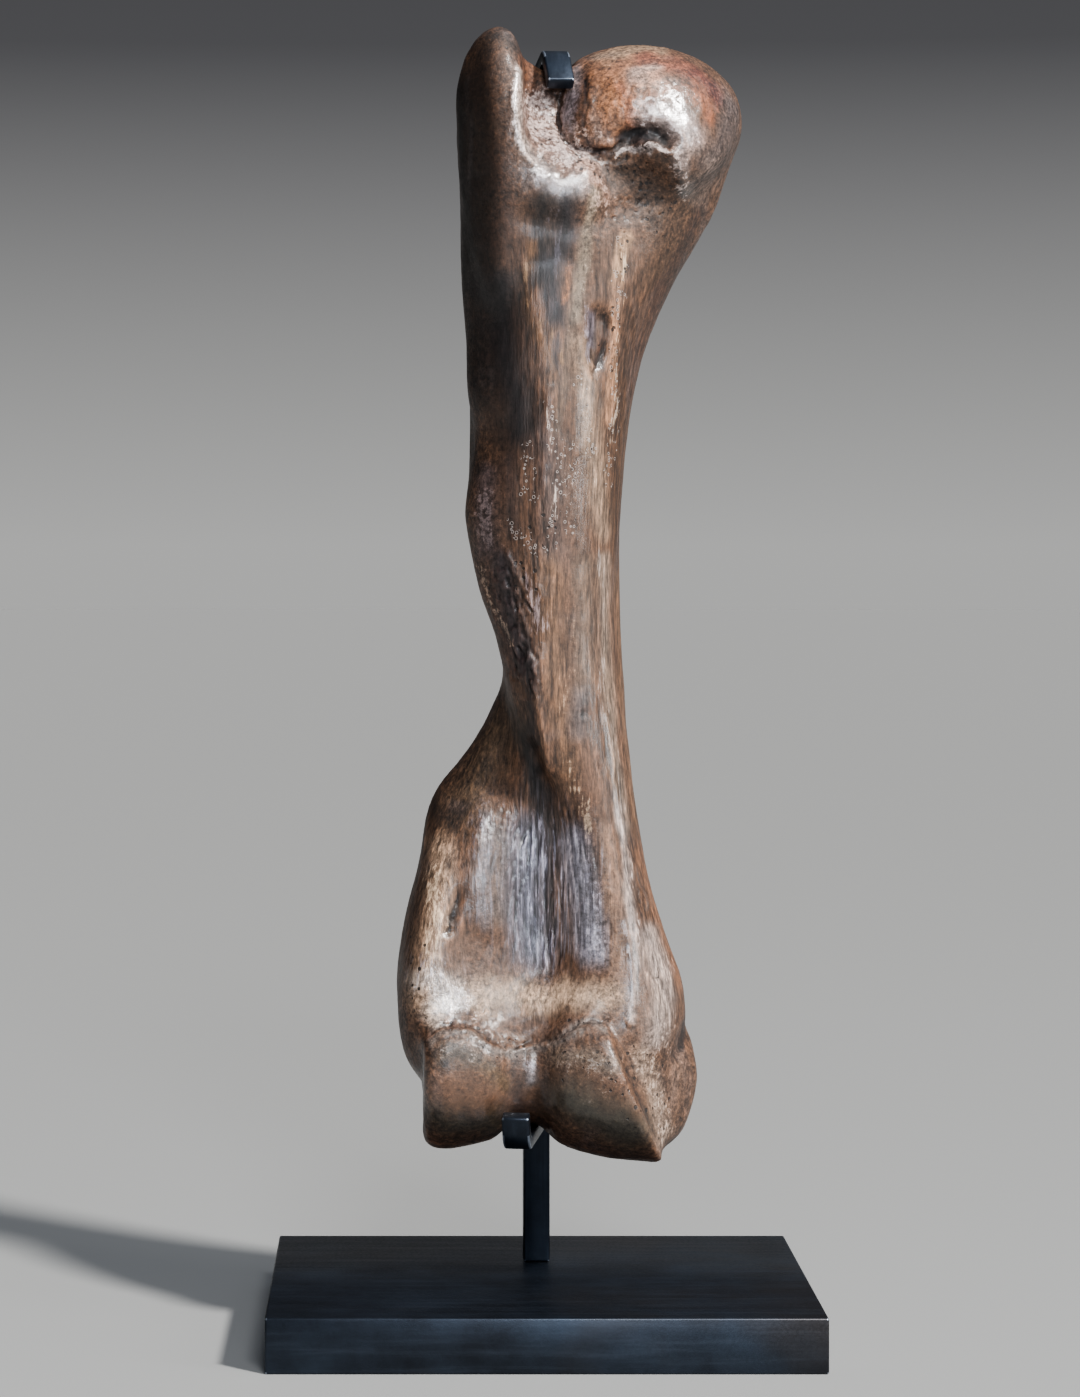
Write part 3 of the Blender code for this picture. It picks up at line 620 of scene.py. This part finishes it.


# Dry films over the stain, and painted highlights and sheen laid the same way: they break up into grains at
# their edges.
FILMS_AND_HIGHLIGHTS = (
    # lip: painted highlight
    ((226, 218, 216), 0.7, 3.8, [(-18.4, 933), (-20, 920), (-20.6, 909), (-19.8, 898), (-18, 886),
                                 (-14, 876)]),
    # cap: painted highlight
    ((224, 220, 226), 0.4, 12, [(-8, 862), (4, 852), (16, 848), (26, 852)]),
    # notch floor: partly a painted highlight where it faces the light
    ((218, 202, 196), 0.72, 19, [(-4, 914), (2, 892), (18, 876), (30, 864)]),
    ((196, 166, 150), 0.45, 12, [(34, 862), (46, 852), (44, 836)]),
    ((128, 118, 124), 0.9, 9, [(22, 922), (20, 906), (23, 894)]),
    ((206, 178, 164), 0.4, 10, [(34, 892), (46, 886)]),
    # head's front: painted highlight
    ((234, 228, 230), 0.42, 18, [(80, 906), (98, 898), (106, 890)]),
    # ledge under the pit: painted highlight
    ((208, 196, 192), 0.75, 3.4, [(56, 874), (67, 879), (75, 882), (84, 879), (91, 875)]),
    # neck below the head: painted highlight
    ((214, 200, 194), 0.5, 8, [(98, 872), (102, 858), (104, 850)]),
    ((214, 160, 128), 0.5, 12, [(74, 930), (96, 926)]),
    ((186, 118, 68), 0.4, 9, [(44, 906), (54, 908), (66, 910)]),
    ((128, 80, 62), 0.45, 12, [(96, 936), (122, 922), (128, 906)]),
    ((82, 78, 86), 0.4, 11, [(10, 832), (14, 812), (8, 790)]),
    ((86, 84, 94), 0.22, 9, [(2, 814), (8, 795), (10, 775)]),
    ((170, 134, 96), 0.55, 5, [(-14, 792), (-13, 776), (-10, 764)]),
    ((196, 122, 56), 0.6, 3, [(18, 788), (20, 778), (17, 768)]),
    ((146, 114, 78), 0.45, 7, [(2, 752), (9, 738), (14, 722)]),
    ((172, 154, 138), 0.42, 7, [(34, 812), (31, 790), (27, 764), (22, 742)]),
    ((222, 200, 170), 0.5, 6, [(58, 806), (60, 792), (56, 778)]),
    ((206, 164, 122), 0.4, 5, [(55, 782), (58, 768), (54, 756)]),
    ((150, 146, 160), 0.6, 5, [(33, 762), (33, 742), (35, 724)]),
    ((214, 194, 170), 0.4, 5, [(54, 744), (55, 716), (56, 690), (52, 664)]),
    ((212, 180, 154), 0.38, 7, [(26, 708), (31, 702), (33, 686)]),
    ((216, 202, 190), 0.24, 8, [(38, 660), (42, 645), (40, 620)]),
    ((156, 136, 134), 0.65, 10, [(-42, 622), (-40, 600), (-36, 588)]),
    ((200, 172, 148), 0.55, 4, [(-44, 572), (-38, 548), (-28, 528), (-22, 514)]),
    ((170, 154, 158), 0.5, 11, [(-10, 560), (-4, 540), (2, 528)]),
    ((170, 160, 156), 0.3, 6, [(42, 584), (46, 556), (46, 524), (46, 470)]),
    ((196, 164, 134), 0.28, 12, [(20, 540), (22, 500), (16, 470)]),
    ((214, 202, 192), 0.32, 7, [(6, 690), (10, 640), (8, 604)]),
    ((206, 190, 182), 0.28, 9, [(20, 650), (22, 606)]),
    # inner edge, this line and the next: painted highlight
    ((196, 188, 186), 0.34, 4.5, [(50, 468), (54, 440), (58, 412), (60, 386), (62, 366)]),
    ((204, 194, 190), 0.30, 4.5, [(62, 366), (66, 340), (70, 316), (72, 296), (68, 268), (66, 246)]),
    ((206, 180, 150), 0.5, 8, [(18, 430), (26, 408), (34, 380)]),
    # hollow over the elbow, this one and the next: painted bluish sheen
    ((176, 178, 202), 0.34, 34, [(-6, 368), (-2, 304)]),
    ((184, 182, 200), 0.46, 13, [(34, 352), (38, 300)]),
    ((168, 162, 170), 0.24, 10, [(-40, 378), (-42, 350), (-46, 318)]),
    # outer column: painted highlight
    ((230, 226, 230), 0.44, 16, [(-84, 268), (-66, 262), (-58, 250)]),
    ((216, 192, 162), 0.48, 12, [(-80, 340), (-76, 312), (-82, 284)]),
    ((204, 170, 132), 0.24, 11, [(-40, 250), (0, 252), (40, 256)]),
    ((206, 186, 174), 0.42, 14, [(86, 280), (94, 250), (88, 220)]),
    ((196, 178, 164), 0.42, 12, [(74, 214), (86, 182), (92, 156)]),
    ((160, 150, 146), 0.24, 12, [(-70, 222), (-54, 216)]),
    # pulley's groove: painted highlight
    ((170, 164, 176), 0.34, 7, [(-9, 212), (-7, 200)]),
    ((160, 150, 142), 0.35, 18, [(20, 208), (46, 204), (30, 188)]),
)
film_and_highlight_colour = np.tile(np.array(shade(200, 180, 165)), (len(points), 1))
laid_film_and_highlight = np.zeros(len(points))
for colour, strength, reach, path in FILMS_AND_HIGHLIGHTS:
    laid = brush(path, reach * 1.25, ragged)
    film_and_highlight_colour += (np.array(shade(*colour)) - film_and_highlight_colour) * np.minimum(1, laid * 2.5)[:, None]
    laid_film_and_highlight = np.maximum(laid_film_and_highlight, strength * laid)
keep_float("film_and_highlight_share", laid_film_and_highlight * front)
keep_colour("film_and_highlight", film_and_highlight_colour)

# Where the finer marks of the material show, with the rings' painted glints and the sinews' painted sheen,
# and where the hardener stands thick and shines.
keep_mask("glaze_rings_and_glints", (
    (1.0, 7, [(6, 690), (9, 664), (12, 640), (10, 614), (6, 600)]),
    (1.0, 8, [(-12, 656), (-10, 640)]),
    (1.0, 9, [(20, 655), (24, 625), (22, 602)]),
    (1.0, 8, [(-14, 632), (-8, 622)]),
    (1.0, 9, [(-22, 604), (-12, 594), (-4, 578), (8, 590)]),
    (1.0, 8, [(57, 808), (58, 790), (56, 772), (53, 752)]),
    (0.9, 6, [(54, 744), (55, 716), (56, 690), (52, 660), (48, 630)]),
    (0.7, 8, [(26, 708), (30, 690), (36, 660)]),
), front)
keep_mask("long_fibres", (
    (1.0, 60, [(0, 400), (0, 260)]),
    (1.0, 50, [(0, 806), (0, 640), (0, 420)]),
    (1.0, 60, [(60, 780), (50, 600), (50, 420)]),
    (1.0, 60, [(-50, 440), (-84, 300)]),
    (1.0, 50, [(60, 400), (92, 260)]),
))
keep_mask("open_pores", (
    (1.0, 20, [(-2, 912), (2, 889), (18, 873), (32, 862)]),
    (1.0, 26, [(62, 866), (76, 850), (82, 832)]),
    (0.9, 9, [(60, 815), (55, 770), (52, 720)]),
    (1.0, 9, [(x, z + 2) for x, z in edge_of_pulley]),
    (0.8, 22, [(12, 212), (50, 205), (70, 180)]),
    (0.8, 18, [(66, 216), (86, 180), (96, 160)]),
    (0.5, 20, [(-84, 300), (-86, 250)]),
    (0.6, 26, [(-20, 560), (0, 600)]),
), front)
keep_mask("worn_smooth", (
    (1.0, 40, [(-60, 185), (-20, 180), (20, 185), (66, 170)]),
    (0.7, 40, [(-50, 930), (-50, 860), (-48, 780)]),
    (0.5, 30, [(-30, 740), (-28, 680)]),
    (0.6, 30, [(92, 905), (120, 900)]),
    (0.6, 20, [(0, 850), (20, 846)]),
))
# the sinews, with their painted bluish sheen
keep_mask("sinews_and_sheen", (
    (1.0, 44, [(-6, 374), (-2, 298)]),
    (0.6, 18, [(-42, 384), (-44, 316)]),
    (0.8, 20, [(34, 366), (38, 296)]),
    (1.0, 26, [(-82, 272), (-66, 256)]),
), front)
keep_mask("polish", (
    (1.0, 9, [(-18, 935), (-20, 912), (-19, 890), (-12, 872)]),
    (1.0, 17, [(-2, 860), (10, 852), (26, 852)]),
    (0.6, 45, [(60, 930), (100, 915)]),
    (1.0, 30, [(84, 908), (104, 902), (104, 884)]),
    (0.9, 12, [(100, 868), (106, 852)]),
    (0.6, 18, [(0, 900), (20, 875)]),
    (1.0, 24, [(-84, 274), (-72, 252)]),
    (0.6, 16, [(-74, 350), (-80, 300)]),
    (1.0, 34, [(-8, 370), (-4, 312)]),
    (0.9, 15, [(-42, 380), (-44, 320)]),
    (0.9, 15, [(34, 360), (36, 300)]),
    (1.0, 9, [(48, 462), (53, 425), (57, 395), (61.5, 366), (69.6, 342), (77, 322)]),
    (1.0, 9, [(62, 309), (65.5, 283), (67, 254), (63, 238)]),
    (1.0, 8, [(-8, 212), (-8, 198)]),
    (0.5, 24, [(30, 700), (34, 600), (46, 450)]),
    (0.5, 16, [(-84, 215), (-84, 180)]),
    (0.35, 34, [(-60, 180), (60, 175)]),
), 1 - brush([(59, 884), (71, 890), (83, 890), (92, 884)], 15, ragged))

surface = bpy.data.materials.new("stained_fossil_bone")
add, link = node_maker(surface)
place = add("ShaderNodeTexCoord").outputs["Object"]


def painted(name, output="Fac"):
    """What is stored on the bone's points under this name."""
    return add("ShaderNodeAttribute", attribute_name=name).outputs[output]


def sum_of(kind, first, second=0.0, third=0.0):
    """A Math node: each value is a socket or a plain number."""
    node = add("ShaderNodeMath", operation=kind)
    for socket, value in zip(node.inputs, (first, second, third)):
        if isinstance(value, bpy.types.NodeSocket):
            link(value, socket)
        else:
            socket.default_value = value
    return node.outputs[0]


def between(first, second, share):
    """One grain fading into the other: first + share x (second - first)."""
    return sum_of("MULTIPLY_ADD", share, sum_of("SUBTRACT", second, first), first)


def calmed(value, share):
    """A grain with its swing about the middle made smaller."""
    return sum_of("MULTIPLY_ADD", sum_of("SUBTRACT", value, 0.5), share, 0.5)


def speckle(scale, detail, roughness, distortion=0.0):
    return grain(add, link, place, scale, detail, roughness, distortion)


def ramp(value, low, high, new_low=0, new_high=1):
    return stretch(add, link, value, low, high, new_low, new_high)


def over(under, amount, colour):
    """A colour laid over another, as thick as the amount says."""
    return blend_colours(add, link, "MIX", amount, under, colour)


def tinted(under, amount, tint):
    """A colour multiplied by a tint, as strongly as the amount says."""
    return over(under, amount, blend_colours(add, link, "MULTIPLY", 1.0, under, tint))


def cells_of(vector, count):
    """Cells, so many a metre: the distance from each one's middle, and two random numbers for each."""
    cells = add("ShaderNodeTexVoronoi", feature="F1", Scale=count)
    link(vector, cells.inputs["Vector"])
    numbers = add("ShaderNodeSeparateColor")
    link(cells.outputs["Color"], numbers.inputs[0])
    return cells.outputs["Distance"], numbers.outputs[0], numbers.outputs[1]


# Two grains, drawn out along the shaft where its fibres are long, and calm where it is worn smooth.
along = painted("long_fibres")
coarse = between(speckle((150, 150, 150), 6, 0.68), speckle((230, 230, 20), 6, 0.64, 0.2), along)
fine = between(speckle((340, 340, 340), 4, 0.75), speckle((440, 440, 75), 4, 0.72), along)
calm = ramp(painted("worn_smooth"), 0, 1, 1, 0.45)
coarse = calmed(coarse, calm)
fine = calmed(fine, calm)

# The stain has rusty and grey clouds in it, and the coarse grain shows dark and pale.
body = painted("stain_and_painted_light", "Color")
blotch = speckle((24, 24, 12), 6, 0.62, 0.5)
body = tinted(body, ramp(blotch, 0.54, 0.70, 0, 0.5), (0.80, 0.71, 0.59))
body = over(body, ramp(blotch, 0.46, 0.34, 0, 0.3), shade(110, 102, 102))
body = tinted(body, ramp(coarse, 0.50, 0.37, 0, 0.85), (0.34, 0.315, 0.295))
body = tinted(body, ramp(coarse, 0.53, 0.66, 0, 0.7), (1.75, 1.68, 1.60))

# The films and painted highlights hold where the grain is high, so they thin out in specks.
film_and_highlight_share = painted("film_and_highlight_share")
broken = sum_of("MULTIPLY_ADD", sum_of("SUBTRACT", coarse, 0.5), 2.6, film_and_highlight_share)
broken = sum_of("MULTIPLY_ADD", sum_of("SUBTRACT", fine, 0.5), 1.8, broken)
covered_by_film_and_highlight = sum_of("MULTIPLY", ramp(broken, 0.46, 0.66), ramp(film_and_highlight_share, 0.02, 0.2, 0, 0.6))
body = over(body, covered_by_film_and_highlight, painted("film_and_highlight", "Color"))

# Sinew marks in the hollow over the elbow and on the outer column: dark slits, partly painted shade in the
# grooves, between pale bluish threads that are a painted sheen.
sinews_and_sheen = painted("sinews_and_sheen")
threads = speckle((330, 330, 9), 5, 0.62, 0.1)
slits_and_shade = sum_of("MULTIPLY", ramp(threads, 0.50, 0.40, 0, 0.9), sinews_and_sheen)
body = tinted(body, slits_and_shade, (0.26, 0.25, 0.28))
painted_sheen_threads = sum_of("MULTIPLY", ramp(threads, 0.53, 0.64, 0, 0.6), sinews_and_sheen)
body = over(body, painted_sheen_threads, shade(184, 184, 202))

# Specks of dark and light all over, then darker in the hollows and lighter on the ridges.
hollow = painted("hollow")
body = tinted(body, ramp(fine, 0.49, 0.41, 0, 0.75), (0.30, 0.275, 0.255))
body = tinted(body, ramp(fine, 0.52, 0.61, 0, 0.8), (1.95, 1.86, 1.76))
body = tinted(body, ramp(hollow, 0.1, 1.0, 0, 0.7), (0.16, 0.13, 0.12))
body = tinted(body, ramp(hollow, -0.15, -0.9, 0, 0.7), (1.55, 1.5, 1.45))

# Pores: one in some of the cells, of its own size, with a ragged outline.
ragging = add("ShaderNodeTexNoise", Scale=520.0, Detail=2.0)
link(place, ragging.inputs["Vector"])
shaken = add("ShaderNodeVectorMath", operation="MULTIPLY_ADD")
link(ragging.outputs["Color"], shaken.inputs[0])
shaken.inputs[1].default_value = (1.6 * MM, 1.6 * MM, 1.6 * MM)
link(place, shaken.inputs[2])
away, lot, size = cells_of(shaken.outputs[0], 210)
pore = ramp(sum_of("SUBTRACT", ramp(size, 0, 1, 0.12, 0.36), away), 0, 0.07)
is_open = sum_of("LESS_THAN", lot, sum_of("MULTIPLY", painted("open_pores"), 0.75))
pore = sum_of("MULTIPLY", pore, is_open)
body = over(body, sum_of("MULTIPLY", pore, 0.9), shade(36, 27, 24))

# Rings left by drying drops: a pale rim, partly a painted glint, round a dark middle, scattered in
# clusters.
rings_and_glints_here = painted("glaze_rings_and_glints")
away, lot, size = cells_of(place, 310)
from_rim = sum_of("SUBTRACT", away, ramp(size, 0, 1, 0.24, 0.40))
clumps = sum_of("SUBTRACT", speckle((120, 120, 80), 3, 0.6), 0.5)
crowd = sum_of("MULTIPLY_ADD", clumps, 4.5, sum_of("MULTIPLY", rings_and_glints_here, 0.55))
is_ring = sum_of("MULTIPLY", sum_of("LESS_THAN", lot, crowd), sum_of("GREATER_THAN", rings_and_glints_here, 0.08))
ring_and_glint = sum_of("MULTIPLY", ramp(sum_of("ABSOLUTE", from_rim), 0.10, 0.03), is_ring)
middle = sum_of("MULTIPLY", ramp(from_rim, -0.06, -0.14, 0, 0.8), is_ring)
body = tinted(body, middle, (0.34, 0.30, 0.30))
body = over(body, sum_of("MULTIPLY", ring_and_glint, 0.65), shade(220, 206, 196))

# The hardener darkens it all and dulls its colours a little.
body = blend_colours(add, link, "MULTIPLY", 1.0, body, (0.50, 0.495, 0.50))
dulled = add("ShaderNodeHueSaturation", Saturation=0.93)
link(body, dulled.inputs["Color"])

# It shines where it is polished and stays dull in the hollows.
shader = add("ShaderNodeBsdfPrincipled")
link(dulled.outputs[0], shader.inputs["Base Color"])
polish = painted("polish")
rough = sum_of("MULTIPLY_ADD", polish, -0.20, ramp(coarse, 0.35, 0.65, 0.62, 0.50))
rough = sum_of("ADD", rough, ramp(hollow, 0.15, 0.9, 0, 0.25))
rough = sum_of("ADD", rough, ramp(fine, 0.35, 0.65, 0.08, 0))
link(rough, shader.inputs["Roughness"])
link(ramp(polish, 0, 1, 0.14, 1), shader.inputs["Coat Weight"])
shader.inputs["Coat Roughness"].default_value = 0.17
shader.inputs["Coat IOR"].default_value = 1.75

height = sum_of("MULTIPLY", coarse, 1.1)
for relief, share in ((fine, 0.42), (pore, -0.9), (ring_and_glint, 0.16), (middle, -0.14), (covered_by_film_and_highlight, 0.05)):
    height = sum_of("MULTIPLY_ADD", relief, share, height)
height = sum_of("MULTIPLY_ADD", sum_of("MULTIPLY", threads, sinews_and_sheen), 2.0, height)
for strength, socket in ((0.8, "Normal"), (0.35, "Coat Normal")):
    bump = add("ShaderNodeBump")
    bump.inputs["Strength"].default_value = strength
    bump.inputs["Distance"].default_value = 1 * MM
    link(height, bump.inputs["Height"])
    link(bump.outputs[0], shader.inputs[socket])
link(shader.outputs[0], add("ShaderNodeOutputMaterial").inputs["Surface"])

bone.data.materials.clear()
bone.data.materials.append(surface)
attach(bone, "root")
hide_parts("bone")


# ---- the floor, the lights and the camera ----
# A pale floor out to the horizon, a window high on the right with its own soft glow beside it, two
# broad lamps in front, and the camera at the height of the bone's middle.

bpy.ops.object.select_all(action="DESELECT")
bpy.ops.mesh.primitive_circle_add(vertices=96, radius=30, fill_type="NGON", location=(0, 0, 0))
floor = bpy.context.object
floor.name = "floor"
pale = bpy.data.materials.new("pale_floor")
pale.use_nodes = True
pale.node_tree.nodes["Principled BSDF"].inputs["Base Color"].default_value = (0.27, 0.27, 0.265, 1)
pale.node_tree.nodes["Principled BSDF"].inputs["Roughness"].default_value = 0.9
pale.node_tree.nodes["Principled BSDF"].inputs["Specular IOR Level"].default_value = 0.1
floor.data.materials.append(pale)

# The sky over the floor: the floor's own tone at the horizon, dim above it, bright overhead.
scene.view_settings.look = "AgX - Medium High Contrast"
world = bpy.data.worlds.new("studio")
scene.world = world
world.use_nodes = True
tree = world.node_tree
ray = tree.nodes.new("ShaderNodeTexCoord")
split = tree.nodes.new("ShaderNodeSeparateXYZ")
tones = tree.nodes.new("ShaderNodeValToRGB")
tree.links.new(ray.outputs["Generated"], split.inputs[0])
tree.links.new(split.outputs["Z"], tones.inputs["Fac"])
tree.links.new(tones.outputs["Color"], tree.nodes["Background"].inputs[0])
leftwards = tree.nodes.new("ShaderNodeMapRange")
for socket, number in zip(leftwards.inputs[1:5], (-0.6, -0.16, 0.2, 1.0)):
    socket.default_value = number
tree.links.new(split.outputs["X"], leftwards.inputs[0])
tree.links.new(leftwards.outputs[0], tree.nodes["Background"].inputs[1])
while len(tones.color_ramp.elements) < 5:
    tones.color_ramp.elements.new(0.5)
for stop, (rise, tone) in zip(tones.color_ramp.elements, (
    (0.0, (0.411, 0.411, 0.406)), (0.14, (0.09, 0.09, 0.095)), (0.32, (0.03, 0.03, 0.035)),
    (0.72, (0.20, 0.22, 0.26)), (1.0, (0.55, 0.60, 0.70)),
)):
    stop.position = rise
    stop.color = (*tone, 1)


def soft_light(name, place, target, width, height, watts, colour):
    """A rectangular lamp at a place, turned to its target."""
    lamp = bpy.data.lights.new(name, "AREA")
    lamp.shape = "RECTANGLE"
    lamp.size = width
    lamp.size_y = height
    lamp.energy = watts
    lamp.color = colour
    thing = bpy.data.objects.new(name, lamp)
    scene.collection.objects.link(thing)
    thing.location = place
    thing.rotation_euler = (Vector(target) - Vector(place)).to_track_quat("-Z", "Y").to_euler()


def far_light(name, place, strength, spread, colour):
    """Light from far off, in the direction from place to the origin, as from a window with a soft edge."""
    lamp = bpy.data.lights.new(name, "SUN")
    lamp.energy = strength
    lamp.angle = math.radians(spread)
    lamp.color = colour
    thing = bpy.data.objects.new(name, lamp)
    scene.collection.objects.link(thing)
    thing.rotation_euler = (-Vector(place)).to_track_quat("-Z", "Y").to_euler()


far_light("key", (1.14, -1.03, 1.29), strength=6.5, spread=6, colour=(1.0, 0.985, 0.96))
soft_light("side window", (2.6, -1.5, 1.25), target=(0, 0, 0.55), width=0.45, height=1.6, watts=24,
           colour=(0.95, 0.98, 1.0))
soft_light("high front", (0.4, -2.82, 2.25), target=(0, 0, 0.4), width=0.9, height=0.7, watts=72,
           colour=(0.96, 0.98, 1.0))
soft_light("low front", (0.25, -4.7, 1.15), target=(0, 0, 0.45), width=1.8, height=0.6, watts=48,
           colour=(0.78, 0.87, 1.0))

# The lens and its shifts, as counted on a picture 1397 high.
picture_height = 1397
lens_distance = 3532
shift_right = 135.8
shift_down = 153.3
film_side = 36
camera = bpy.data.cameras.new("camera")
camera.sensor_width = film_side
camera.lens = lens_distance * film_side / picture_height
camera.shift_x = shift_right / picture_height
camera.shift_y = -shift_down / picture_height
viewer = bpy.data.objects.new("camera", camera)
scene.collection.objects.link(viewer)
viewer.location = (-0.1011, -2.651, 0.5874)
viewer.rotation_euler = (math.radians(90), 0, 0)
scene.camera = viewer
